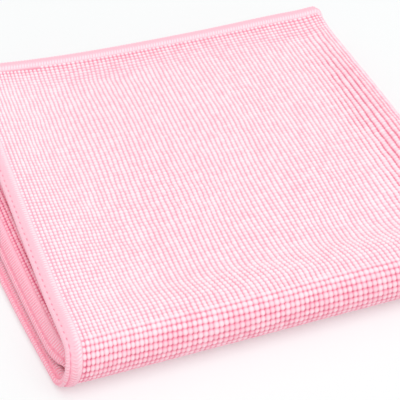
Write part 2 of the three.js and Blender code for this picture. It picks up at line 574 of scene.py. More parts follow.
@dataclass(frozen=True)
class GroundFinish:
    """The knit's ground between the beads and the wrapped hem. The ground's deeper pink is partly painted
    shade between the beads, deeper still where bent is high; the hem's ridge has a painted highlight, and
    the hem is painted in shade inside the pile.
    """

    name: str = "knit_ground_and_overlocked_hem"
    ground: str = "#fab4c7"
    # deep and between are painted shade, and ridge is a painted highlight.
    deep: str = "#e36f8f"
    ridge: str = "#ffe2ea"
    band: str = "#ffc5d3"
    edge: str = "#ffcbd8"
    between: str = "#ffd3de"
    ridge_to: float = 0.25
    band_from: float = 0.5
    band_to: float = 0.8
    hem_blend: float = 0.12
    skin: Skin = Skin(
        roughness=0.92,
        sheen=0.1,
        sheen_roughness=0.6,
        specular=0.15,
        fibre_size=0.6,
        fibre_depth=0.2,
        fibre_strength=0.7,
        fibre_detail=2.0,
    )

    def material(self) -> bpy.types.Material:
        """Makes the material of the sheet.

        Returns:
            The material, which reads where the hem lies, where painted shade deepens the ground, and what
            lies inside, where painted shade darkens the hem.
        """
        made = bare_material(self.name)
        tree = made.node_tree
        hem, bent, inside = (
            add_node(tree, "ShaderNodeAttribute", attribute_name=name).outputs["Fac"]
            for name in ("hem", "bent", "inside")
        )
        # Painted shade: the ground turns to the deep pink where bent is high: round the front fold, on the
        # inner leaves, at the shoulder and behind the back hem.
        knit = add_node(
            tree,
            "ShaderNodeMix",
            {"Factor": bent, MIX_FIRST: linear(self.ground), MIX_SECOND: linear(self.deep)},
            data_type="RGBA",
        )
        # Painted highlight: the ridge of the hem's roll, which faces the light, is paler than its band and
        # edge.
        wrapped = add_node(tree, "ShaderNodeValToRGB", {"Fac": hem})
        stops = wrapped.color_ramp.elements
        stops[0].position, stops[0].color = 0.0, linear(self.ridge)
        stops[1].position, stops[1].color = 1.0, linear(self.edge)
        stops.new(self.ridge_to).color = linear(self.ridge)
        stops.new(self.band_from).color = linear(self.band)
        stops.new(self.band_to).color = linear(self.band)
        # Painted shade: inside the pile the hem is multiplied by a deeper pink.
        toned = add_node(
            tree,
            "ShaderNodeMix",
            {"Factor": inside, MIX_FIRST: wrapped.outputs["Color"], MIX_SECOND: linear(self.between)},
            data_type="RGBA",
            blend_type="MULTIPLY",
        )
        on_hem = add_node(
            tree, "ShaderNodeMapRange", {"Value": hem, "From Min": 0.0, "From Max": self.hem_blend}
        )
        colour = add_node(
            tree,
            "ShaderNodeMix",
            {
                "Factor": on_hem.outputs["Result"],
                MIX_FIRST: knit.outputs[MIX_RESULT],
                MIX_SECOND: toned.outputs[MIX_RESULT],
            },
            data_type="RGBA",
        )
        flat = add_node(tree, "ShaderNodeUVMap", uv_map="cloth")
        self.skin.cover(tree, colour.outputs[MIX_RESULT], flat.outputs["UV"])
        return made


@dataclass(frozen=True)
class ThreadFinish:
    """Polyester sewing thread, textured or spun: soft, dull and close to the cloth's own pink."""

    name: str
    colour: str
    skin: Skin = Skin(
        roughness=0.85,
        sheen=0.04,
        sheen_roughness=0.5,
        specular=0.1,
        fibre_size=0.5,
        fibre_depth=0.05,
        fibre_strength=0.3,
        fibre_detail=1.0,
    )

    def material(self) -> bpy.types.Material:
        """Makes the material of a thread.

        Returns:
            The material, of one colour all over.
        """
        made = bare_material(self.name)
        place = add_node(made.node_tree, "ShaderNodeTexCoord")
        self.skin.cover(made.node_tree, linear(self.colour), place.outputs["Object"])
        return made


def new_tree(name: str, inputs: list[tuple[str, str, Any]]) -> bpy.types.NodeTree:
    """Makes an empty Geometry Nodes tree with named inputs.

    Args:
        name: The tree's name.
        inputs: Each input's name, socket type and default value.

    Returns:
        The tree, with a geometry input and output besides.
    """
    tree = bpy.data.node_groups.new(name, "GeometryNodeTree")
    tree.interface.new_socket("Carrier", in_out="INPUT", socket_type="NodeSocketGeometry")
    for label, kind, value in inputs:
        socket = tree.interface.new_socket(label, in_out="INPUT", socket_type=kind)
        if value is not None:
            socket.default_value = value
    tree.interface.new_socket("Pieces", in_out="OUTPUT", socket_type="NodeSocketGeometry")
    return tree


def end_tree(tree: bpy.types.NodeTree, pieces: bpy.types.NodeSocket, finish: bpy.types.NodeSocket) -> None:
    """Ends a Geometry Nodes tree with one plain smooth mesh in its finish.

    Args:
        tree: The tree.
        pieces: The socket that gives the pieces.
        finish: The socket that gives their material.
    """
    real = add_node(tree, "GeometryNodeRealizeInstances", {"Geometry": pieces})
    smooth = add_node(tree, "GeometryNodeSetShadeSmooth", {"Geometry": real.outputs["Geometry"]})
    dressed = add_node(
        tree, "GeometryNodeSetMaterial", {"Geometry": smooth.outputs["Geometry"], "Material": finish}
    )
    add_node(tree, "NodeGroupOutput", {"Pieces": dressed.outputs["Geometry"]})


def add_object(name: str, data: Any) -> bpy.types.Object:
    """Adds an object to the scene.

    Args:
        name: The object's name.
        data: Its mesh, light or camera.

    Returns:
        The object, at the origin.
    """
    made = bpy.data.objects.new(name, data)
    bpy.context.scene.collection.objects.link(made)
    return made


def grow(
    name: str, carrier: bpy.types.Mesh, tree: bpy.types.NodeTree, values: dict[str, Any]
) -> bpy.types.Object:
    """Runs a tree on a carrier mesh and keeps the result as a plain mesh.

    Args:
        name: The new piece's name.
        carrier: The mesh that carries the places.
        tree: The Geometry Nodes tree.
        values: The tree's inputs by name.

    Returns:
        The finished piece.
    """
    piece = add_object(name, carrier)
    modifier = piece.modifiers.new("grow", "NODES")
    modifier.node_group = tree
    for item in tree.interface.items_tree:
        if item.name in values:
            modifier[item.identifier] = values[item.name]
    depsgraph = bpy.context.evaluated_depsgraph_get()
    mesh = bpy.data.meshes.new_from_object(piece.evaluated_get(depsgraph))
    piece.modifiers.clear()
    piece.data = mesh
    return piece


def point_mesh(name: str, points: Array, edges: list[tuple[int, int]] | None = None) -> bpy.types.Mesh:
    """Makes a mesh of loose points, joined by edges where they are given.

    Args:
        name: The mesh's name.
        points: The points in metres.
        edges: Pairs of points to join.

    Returns:
        The mesh.
    """
    mesh = bpy.data.meshes.new(name)
    mesh.from_pydata(points.tolist(), edges or [], [])
    return mesh


def give(mesh: bpy.types.Mesh, name: str, kind: str, values: Array) -> None:
    """Writes values on to a mesh's points.

    Args:
        mesh: The mesh.
        name: The attribute's name.
        kind: FLOAT or FLOAT_VECTOR.
        values: One value or vector for each point.
    """
    layer = mesh.attributes.new(name, kind, "POINT")
    key = "vector" if kind == "FLOAT_VECTOR" else "value"
    layer.data.foreach_set(key, np.ascontiguousarray(values, dtype=np.float32).ravel())


def clean_up(mesh: bpy.types.Mesh) -> None:
    """Removes points that no face uses, and turns all faces outwards.

    Args:
        mesh: The closed mesh.
    """
    work = bmesh.new()
    work.from_mesh(mesh)
    bmesh.ops.delete(work, geom=[v for v in work.verts if not v.link_faces], context="VERTS")
    bmesh.ops.recalc_face_normals(work, faces=work.faces)
    work.to_mesh(mesh)
    work.free()


@dataclass(frozen=True)
class HemShape:
    """The wrapped hem's section on each face, in mm from the cloth's edge."""

    bead_height: float = 0.62
    groove_at: float = 1.4
    groove_half: float = 0.4
    groove_depth: float = 0.22
    ridge_at: float = 3.9
    ridge_half: float = 0.7
    ridge_height: float = 0.1
    fall_from: float = 4.4
    fall_to: float = 5.5
    inner_share: float = 0.98

    def width_share(self, face: Face) -> float:
        """Width of the band on a face, against its width on the outer face."""
        return 1.0 if face is Face.OUTER else self.inner_share

    def half_thickness(self, across: Array, along: Array, face: Face) -> Array:
        """Height of a face over the middle of the sheet.

        Args:
            across: Places across the flat cloth.
            along: Places along the flat cloth.
            face: The face that is asked for.

        Returns:
            A rounded roll with its stitched groove and ridge at the hem, and then the knit's ground.
        """
        edge = FORM.edge_distance(across, along)
        inside = np.clip(edge / FORM.hem_rounding, 0.0, 1.0)
        roll = FORM.thickness / 2 * np.sqrt(1 - (1 - inside) ** 2)
        scaled = edge / self.width_share(face)
        groove = self.groove_depth * np.exp(-(((edge - self.groove_at) / self.groove_half) ** 2))
        ridge = self.ridge_height * np.exp(-(((scaled - self.ridge_at) / self.ridge_half) ** 2))
        fall = self.bead_height * ease(scaled, self.fall_from, self.fall_to)
        return roll - groove + ridge - fall

    def tone(self, edge: Array, face: Face) -> Array:
        """Place on the band for its colour: 1 at the cloth's edge and 0 where the beads start."""
        return np.clip(1 - edge / (self.fall_to * self.width_share(face)), 0.0, 1.0)


HEM = HemShape()


@dataclass
class ClothSheet:
    """The sheet itself: the knit's ground, with the wrapped hem all round."""

    hem_lines: tuple[float, ...] = (
        0, 0.12, 0.4, 0.8, 1.15, 1.4, 1.65, 1.95, 2.4, 2.9, 3.4, 3.9, 4.4, 4.8, 5.2, 5.7, 6.6
    )
    field_step: float = 3.0
    fold_steps: int = 20
    # Where and how strongly painted shade falls on the ground and on the hem, in mm.
    fold_margin: float = 2.0
    inner_reach: float = 20.0
    front_before: float = 4.0
    front_past: float = 6.0
    side_before: float = 4.0
    shoulder_ground_shade: float = 1.0
    shoulder_across: Span = (122.0, 134.0)
    shoulder_along: Span = (10.0, 50.0)
    shoulder_at_hem: float = 0.3
    back_hem_shade: float = 0.5
    back_hem_shade_reach: float = 12.0
    piece: bpy.types.Object | None = field(default=None, init=False)

    def lines(self, start: float, end: float, size: float) -> Array:
        """Grid lines from one hem to the other, closer over the fold.

        Args:
            start: Where the fold starts.
            end: Where the fold ends.
            size: The flat cloth's size that way.

        Returns:
            The lines' places in mm.
        """
        hem = np.array(self.hem_lines)
        count = max(2, round((start - hem[-1]) / self.field_step))
        first = np.linspace(hem[-1], start, count + 1)[1:]
        fold = np.linspace(start, end, self.fold_steps + 1)[1:]
        last = np.linspace(end, size - hem[-1], count + 1)[1:]
        return np.concatenate([hem, first, fold, last, size - hem[::-1][1:]])

    def both_faces(self, across: Array, along: Array) -> bpy.types.Mesh:
        """Makes the sheet's two faces, which share their points along the cloth's edge.

        Args:
            across: The grid's places across the flat cloth.
            along: The grid's places along the flat cloth.

        Returns:
            The mesh, with the outer face's points before the inner face's.
        """
        round_across, round_along = FORM.round_corner(across, along)
        outer_half = HEM.half_thickness(across, along, Face.OUTER)
        inner_half = HEM.half_thickness(across, along, Face.INNER)
        outer_points = FORM.place(round_across, round_along, outer_half).reshape(-1, 3)
        inner_points = FORM.place(round_across, round_along, -inner_half).reshape(-1, 3)
        outer = np.arange(across.size).reshape(across.shape)
        inner = outer + across.size
        border = np.ones(across.shape, bool)
        border[1:-1, 1:-1] = False
        inner[border] = outer[border]
        faces = []
        for grid, turned in ((outer, True), (inner, False)):
            a, b, c, d = grid[:-1, :-1], grid[1:, :-1], grid[1:, 1:], grid[:-1, 1:]
            corners = np.stack([a, d, c, b] if turned else [a, b, c, d], axis=-1)
            faces += corners.reshape(-1, 4).tolist()
        mesh = bpy.data.meshes.new("cloth_sheet")
        mesh.from_pydata(np.concatenate([outer_points, inner_points]).tolist(), [], faces)
        return mesh

    def shade(self, mesh: bpy.types.Mesh, across: Array, along: Array) -> None:
        """Writes on the points how near the hem is, what lies inside, and where painted shade deepens the
        ground (bent).

        Args:
            mesh: The sheet's mesh.
            across: The grid's places across the flat cloth.
            along: The grid's places along the flat cloth.
        """
        edge = FORM.edge_distance(across, along).ravel()
        give(mesh, "hem", "FLOAT", np.concatenate([HEM.tone(edge, face) for face in Face]))
        # Painted shade on the hem, stored as inside: under the front fold and on the inner leaves.
        under = ease(along, FORM.front_start + self.fold_margin, FORM.front_end - self.fold_margin)
        inner_leaf = ease(across, FORM.side_end, FORM.side_end + self.inner_reach)
        give(mesh, "inside", "FLOAT", np.tile(np.maximum(under, inner_leaf).ravel(), 2))
        # Painted shade on the ground, stored as bent: round the front fold, on the inner leaves, at the
        # shoulder and behind the back hem.
        shade_round_front = ease(along, FORM.front_start - self.front_before, FORM.front_start + self.front_past)
        before_side = 1 - ease(across, FORM.side_start - self.side_before, FORM.side_start)
        past_hem = self.shoulder_at_hem + (1 - self.shoulder_at_hem) * ease(along, *self.shoulder_along)
        shoulder = self.shoulder_ground_shade * ease(across, *self.shoulder_across) * before_side * past_hem
        shade_behind_hem = self.back_hem_shade * (1 - ease(along, HEM.fall_to, self.back_hem_shade_reach))
        bent = np.maximum.reduce([shade_round_front, inner_leaf, shoulder, shade_behind_hem])
        give(mesh, "bent", "FLOAT", np.tile(bent.ravel(), 2))

    def lay_out(self, mesh: bpy.types.Mesh, across: Array, along: Array) -> None:
        """Keeps the places on the flat cloth as the mesh's UV map, in metres.

        Args:
            mesh: The sheet's mesh.
            across: The grid's places across the flat cloth.
            along: The grid's places along the flat cloth.
        """
        flat = np.stack([np.tile(across.ravel(), 2), np.tile(along.ravel(), 2)], axis=-1) * MM
        loops = np.empty(len(mesh.loops), dtype=np.int32)
        mesh.loops.foreach_get("vertex_index", loops)
        mesh.uv_layers.new(name="cloth").data.foreach_set("uv", flat[loops].ravel())

    def build(self) -> bpy.types.Object:
        """Makes the closed sheet with both faces.

        Returns:
            The sheet's object.
        """
        across_lines = self.lines(FORM.side_start, FORM.side_end, FORM.across_size)
        along_lines = self.lines(FORM.front_start, FORM.front_end, FORM.along_size)
        across, along = np.meshgrid(across_lines, along_lines, indexing="ij")
        mesh = self.both_faces(across, along)
        self.shade(mesh, across, along)
        self.lay_out(mesh, across, along)
        clean_up(mesh)
        mesh.shade_smooth()
        self.piece = add_object("cloth_sheet", mesh)
        return self.piece

    def dress(self) -> None:
        """Gives the sheet its finish."""
        self.piece.data.materials.append(GroundFinish().material())


@dataclass(frozen=True)
class BeadZone:
    """A stretch of one face that carries beads, with the number of sides and rings of each bead."""

    name: str
    face: Face
    across: Span
    along: Span
    sides: int = 6
    rings: int = 4
    shaded: bool = False


@dataclass(frozen=True)
class KnitLattice:
    """Where the knit's ribs and rows lie on the flat cloth, in mm."""

    start: float = 5.7
    inner_start: float = 5.6
    pitch: float = 1.7
    rib_step: float = 0.05
    rib_overrun: float = 1.0
    left: Span = (14.0, 40.0)
    left_crowding: float = 0.2
    shoulder: Span = (130.0, 139.0)
    shoulder_gain: float = 0.2
    side_before: float = 4.0
    side_past: float = 0.5
    side_crowding: float = 0.4
    course: float = 1.5
    row_step: float = 0.1
    fold_before: float = 3.0
    fold_inside: float = 1.0
    fold_crowding: float = 0.28
    row_skew: float = 0.22
    skew_reach: float = 33.0
    skew_ease: float = 5.0
    skew_at_hem: float = 0.3
    skew_grows: Span = (5.0, 40.0)
    skew_fades_from: float = 55.0
    skew_past_fold: float = 2.0
    sway: float = 2.0
    sway_grows: Span = (11.0, 23.0)
    sway_fades: Span = (30.0, 120.0)
    back_sway: float = 1.4
    back_sway_grows: Span = (134.0, 151.0)
    back_sway_fades: Span = (40.0, 90.0)
    loose_from: Span = (16.0, 52.0)
    loose_to: Span = (118.0, 142.0)
    wavy: Span = (5.5, 18.0)
    rib_wave: Wave = Wave(0.34, 34.0, 3)
    rib_quiver: Wave = Wave(0.12, 9.0, 5)
    row_wave: Wave = Wave(0.42, 46.0, 11)
    rib_margin: float = 0.5
    row_margin: float = 0.4

    def sideways(self, across: Array, along: Array) -> Array:
        """How far the ribs lie to one side where the cloth bends.

        Args:
            across: Places across the flat cloth.
            along: Places along the flat cloth.

        Returns:
            The distances across, in mm.
        """
        back = FORM.middle + FORM.front_start - along
        loose = ease(across, *self.loose_from) * (1 - ease(across, *self.loose_to))
        behind_fold = ease(back, *self.sway_grows) - ease(back, *self.sway_fades)
        at_hem = ease(back, *self.back_sway_grows) * (1 - ease(across, *self.back_sway_fades))
        return loose * (self.back_sway * at_hem - self.sway * behind_fold)

    def rows_back(self, across: Array, along: Array) -> Array:
        """How far back the rows lie at the left, where the hem has pulled the knit askew.

        Args:
            across: Places across the flat cloth.
            along: Places along the flat cloth.

        Returns:
            The distances along, in mm.
        """
        beside = self.skew_ease * np.logaddexp(0.0, (self.skew_reach - across) / self.skew_ease)
        behind = self.skew_at_hem + (1 - self.skew_at_hem) * ease(along, *self.skew_grows)
        ahead = ease(along, self.skew_fades_from, FORM.front_start + self.skew_past_fold)
        return self.row_skew * beside * behind * (1 - ahead)

    def ribs(self, start: float) -> Array:
        """Places of the ribs across the cloth: closer at the hem and the side fold, wider at the shoulder.

        Args:
            start: The first rib's place.

        Returns:
            The ribs' places, to just past the side fold.
        """
        across = np.arange(start, FORM.side_end + self.rib_overrun, self.rib_step)
        on_fold = ease(across, FORM.side_start - self.side_before, FORM.side_start + self.side_past)
        shoulder = ease(across, *self.shoulder) * (1 - on_fold)
        left = 1 - ease(across, *self.left)
        wider = self.shoulder_gain * shoulder - self.left_crowding * left - self.side_crowding * on_fold
        counted = np.cumsum(self.rib_step / (self.pitch * (1 + wider)))
        return np.interp(np.arange(counted[0], counted[-1], 1.0), counted, across)

    def courses(self, start: float) -> Array:
        """Places of the courses along the cloth, closer where it is stretched round the front fold.

        Args:
            start: The first course's place.

        Returns:
            The courses' places, up to the other hem.
        """
        along = np.arange(start, FORM.along_size - start, self.row_step)
        on_fold = ease(along, FORM.front_start - self.fold_before, FORM.front_start + self.fold_inside)
        on_fold *= 1 - ease(along, FORM.front_end - self.fold_inside, FORM.front_end + self.fold_before)
        counted = np.cumsum(self.row_step / (self.course * (1 - self.fold_crowding * on_fold)))
        return np.interp(np.arange(counted[0], counted[-1], 1.0), counted, along)

    def places(self, zone: BeadZone) -> tuple[Array, Array, Array, Array]:
        """Places of a zone's beads on the flat cloth.

        Args:
            zone: The stretch to fill.

        Returns:
            The places across and along, the distance to the next rib, and the rib's slant there.
        """
        start = self.start if zone.face is Face.OUTER else self.inner_start
        across, along = np.meshgrid(self.ribs(start), self.courses(start), indexing="ij")
        on_inner_leaves = zone.across[0] > FORM.side_end
        if on_inner_leaves:
            across = FORM.across_size - across
        else:
            along = along - self.rows_back(across, along)
            across = across + self.sideways(across, along)
        wavy = ease(FORM.edge_distance(across, along), *self.wavy)
        across = across + wavy * (self.rib_wave.at(across, along) + self.rib_quiver.at(across, along))
        along = along + wavy * self.row_wave.at(across, along)
        spacing = np.abs(np.gradient(across, axis=0))
        slant = np.gradient(across, axis=1) / np.gradient(along, axis=1)
        keep = (across > zone.across[0] - self.sway) & (across < zone.across[1] + self.rib_margin)
        keep &= (along >= max(zone.along[0], start - self.row_margin)) & (along < zone.along[1])
        return across[keep], along[keep], spacing[keep], slant[keep]


@dataclass
class KnitBeads:
    """The knit's beads, in ribs that run from the back hem around the front fold."""

    lattice: KnitLattice = KnitLattice()
    edge_reach: float = 17.0
    fold_lead: float = 2.0
    height: float = 0.66
    sink: float = 0.12
    dome_cut: float = -0.05
    unevenness: float = 0.08
    first_share: float = 0.84
    first_rows: Span = (5.2, 9.0)
    stretched: Span = (1.1, 1.6)
    side_before: float = 1.0
    side_past: float = 2.0
    width_share: float = 1.14
    fold_width_share: float = 1.3
    side_width_share: float = 1.3
    cord_share: float = 1.5
    dotting: float = 0.4
    corded_along: Span = (12.0, 22.0)
    corded_across: Span = (22.0, 64.0)
    corded_at_left: float = 0.5
    fold_length_share: float = 1.28
    # A random difference of tone, then painted shade on the front fold's lower rows and at the shoulder,
    # and less of it at the left.
    tint_spread: float = 0.5
    low_row_shade: float = 1.8
    low_before: float = 5.0
    low_past: float = 9.0
    shoulder_shade: float = 0.6
    shoulder_along: Span = (10.0, 50.0)
    left_tint: float = 0.5
    left_across: Span = (18.0, 50.0)
    seed: int = 7
    pieces: list[bpy.types.Object] = field(default_factory=list, init=False)

    def zones(self) -> list[BeadZone]:
        """The stretches of the cloth that show beads.

        Returns:
            The zones. Those that show least have the plainest beads.
        """
        half = FORM.front_start / 2
        fold = FORM.front_start - self.fold_lead
        end = FORM.along_size
        ends = (0.0, end)
        rim = self.lattice.start + self.edge_reach
        leaf = (self.lattice.start, FORM.side_end)
        outer_rim = (0.0, rim)
        inner_rim = (FORM.across_size - rim, FORM.across_size)
        return [
            BeadZone("beads_top_back", Face.OUTER, leaf, (0.0, half), sides=8),
            BeadZone("beads_top_front", Face.OUTER, leaf, (half, fold), sides=8),
            BeadZone("beads_front_fold", Face.OUTER, leaf, (fold, FORM.front_end), sides=10, rings=6),
            BeadZone("beads_underside", Face.OUTER, leaf, (FORM.front_end, end)),
            BeadZone("beads_between_outer", Face.INNER, outer_rim, ends, shaded=True),
            BeadZone("beads_between_inner", Face.INNER, inner_rim, ends, shaded=True),
            BeadZone("beads_between_halves", Face.OUTER, inner_rim, ends, shaded=True),
        ]

    def tree(self) -> bpy.types.NodeTree:
        """Makes a tree that sets one domed bead on each point of its carrier.

        Returns:
            The tree. It reads each point's outward, rib_way and bead_size.
        """
        tree = new_tree(
            "set_beads",
            [
                ("Sides", "NodeSocketInt", 8),
                ("Rings", "NodeSocketInt", 4),
                ("Unevenness", "NodeSocketFloat", self.unevenness),
                ("Seed", "NodeSocketInt", self.seed),
                ("Finish", "NodeSocketMaterial", None),
            ],
        )
        given = add_node(tree, "NodeGroupInput").outputs
        ball = add_node(
            tree,
            "GeometryNodeMeshUVSphere",
            {"Segments": given["Sides"], "Rings": given["Rings"], "Radius": 1.0},
        )
        spot = add_node(tree, "GeometryNodeInputPosition")
        height = add_node(tree, "ShaderNodeSeparateXYZ", {"Vector": spot.outputs["Position"]})
        below = add_node(
            tree,
            "FunctionNodeCompare",
            {"A": height.outputs["Z"], "B": self.dome_cut},
            data_type="FLOAT",
            operation="LESS_THAN",
        )
        dome = add_node(
            tree,
            "GeometryNodeDeleteGeometry",
            {"Geometry": ball.outputs["Mesh"], "Selection": below.outputs["Result"]},
            domain="POINT",
        )
        # The crown height, which the beads' finish turns into painted shade at the root and a painted
        # highlight at the tip.
        crown = add_node(
            tree,
            "GeometryNodeStoreNamedAttribute",
            {"Geometry": dome.outputs["Geometry"], "Name": "crown", "Value": height.outputs["Z"]},
            data_type="FLOAT",
            domain="POINT",
        )
        outward, rib_way, size = (
            add_node(tree, "GeometryNodeInputNamedAttribute", {"Name": name}, data_type="FLOAT_VECTOR")
            for name in ("outward", "rib_way", "bead_size")
        )
        turned = add_node(
            tree,
            "FunctionNodeAxesToRotation",
            {
                "Primary Axis": outward.outputs["Attribute"],
                "Secondary Axis": rib_way.outputs["Attribute"],
            },
            primary_axis="Z",
            secondary_axis="Y",
        )
        least = add_node(tree, "ShaderNodeMath", {0: 1.0, 1: given["Unevenness"]}, operation="SUBTRACT")
        most = add_node(tree, "ShaderNodeMath", {0: 1.0, 1: given["Unevenness"]}, operation="ADD")
        uneven = add_node(
            tree,
            "FunctionNodeRandomValue",
            {"Min": least.outputs[0], "Max": most.outputs[0], "Seed": given["Seed"]},
            data_type="FLOAT",
        )
        scaled = add_node(
            tree,
            "ShaderNodeVectorMath",
            {0: size.outputs["Attribute"], "Scale": uneven.outputs[1]},
            operation="SCALE",
        )
        set_out = add_node(
            tree,
            "GeometryNodeInstanceOnPoints",
            {
                "Points": given["Carrier"],
                "Instance": crown.outputs["Geometry"],
                "Rotation": turned.outputs["Rotation"],
                "Scale": scaled.outputs["Vector"],
            },
        )
        end_tree(tree, set_out.outputs["Instances"], given["Finish"])
        return tree

    def on_side(self, across: Array) -> Array:
        """How far the cloth has turned into the side fold, from 0 to 1."""
        return ease(across, FORM.side_start - self.side_before, FORM.side_start + self.side_past)

    def sizes(self, across: Array, along: Array, rib_width: Array, stretch: Array) -> Array:
        """Half sizes of the beads: over the rib, along it, and outwards.

        Args:
            across: Places across the flat cloth.
            along: Places along the flat cloth.
            rib_width: The rib's width in the pile.
            stretch: The length in the pile that one mm along the flat cloth becomes.

        Returns:
            One vector in metres for each bead.
        """
        edge = FORM.edge_distance(across, along)
        first = self.first_share + (1 - self.first_share) * ease(edge, *self.first_rows)
        bent = ease(stretch, *self.stretched)
        width_share = self.width_share + (self.side_width_share - self.width_share) * self.on_side(across)
        width_share = width_share + (self.fold_width_share - width_share) * bent
        from_left = self.corded_at_left + (1 - self.corded_at_left) * ease(across, *self.corded_across)
        corded = ease(along, *self.corded_along) * from_left
        length_share = self.cord_share - self.dotting * (1 - corded)
        length_share = length_share + (self.fold_length_share - length_share) * bent
        course = self.lattice.course * (1 - self.lattice.fold_crowding * bent)
        wide = rib_width / 2 * width_share * first
        long = stretch * course / 2 * length_share * first
        tall = (self.height + self.sink) * first
        return np.stack([wide, long, tall], axis=-1) * MM

    def tints(self, across: Array, along: Array, face: Face, draw: np.random.Generator) -> Array:
        """How much paler or deeper each bead is: a random difference of tone, with painted shade on the
        front fold's lower rows and at the shoulder, and less painted shade at the left.

        Args:
            across: Places across the flat cloth.
            along: Places along the flat cloth.
            face: The face that the beads are on.
            draw: Gives each bead its own small difference.

        Returns:
            One value for each bead, above 0 where it is paler.
        """
        low = ease(along, FORM.front_start - self.low_before, FORM.front_start + self.low_past)
        left = 1 - ease(across, *self.left_across)
        tint = draw.uniform(-self.tint_spread, self.tint_spread, across.shape)
        # Painted shade on the lower rows of the front fold, which face away from the light, and less
        # painted shade at the left.
        tint = tint - self.low_row_shade * low + self.left_tint * left * (1 - low)
        if face is Face.OUTER:
            # Painted shade on the shoulder's ribs.
            shoulder = ease(across, *self.lattice.shoulder) * (1 - self.on_side(across))
            tint = tint - self.shoulder_shade * shoulder * ease(along, *self.shoulder_along)
        return tint

    def build(self) -> list[bpy.types.Object]:
        """Sets the beads of every zone.

        Returns:
            One piece for each zone.
        """
        tree = self.tree()
        # A shaded copy of the beads' finish: painted shade, deeper pink all over, for the beads that lie
        # between the leaves.
        between_leaves = KnitFinish(
            name="knitted_microfibre_beads_in_painted_shade",
            root="#e0708f",
            flank="#f292ad",
            shoulder="#ffb4c6",
            tip="#ffc8d6",
        )
        finishes = {False: KnitFinish().material(), True: between_leaves.material()}
        draw = np.random.default_rng(self.seed)
        for zone in self.zones():
            across, along, spacing, slant = self.lattice.places(zone)
            side = zone.face.value
            offset = np.full(across.shape, side * (FORM.thickness / 2 - self.height))
            points, way_across, way_along = FORM.frames(across, along, offset)
            out = np.cross(way_along, way_across) * side
            out /= np.linalg.norm(out, axis=1, keepdims=True)
            rib_width = np.linalg.norm(way_across, axis=1) * spacing
            stretch = np.linalg.norm(way_along, axis=1)
            carrier = point_mesh(zone.name, points - out * self.sink * MM)
            give(carrier, "outward", "FLOAT_VECTOR", out)
            give(carrier, "rib_way", "FLOAT_VECTOR", way_along + way_across * slant[:, None])
            give(carrier, "bead_size", "FLOAT_VECTOR", self.sizes(across, along, rib_width, stretch))
            give(carrier, "tint", "FLOAT", self.tints(across, along, zone.face, draw))
            values = {"Sides": zone.sides, "Rings": zone.rings, "Finish": finishes[zone.shaded]}
            self.pieces.append(grow(zone.name, carrier, tree, values))
        return self.pieces


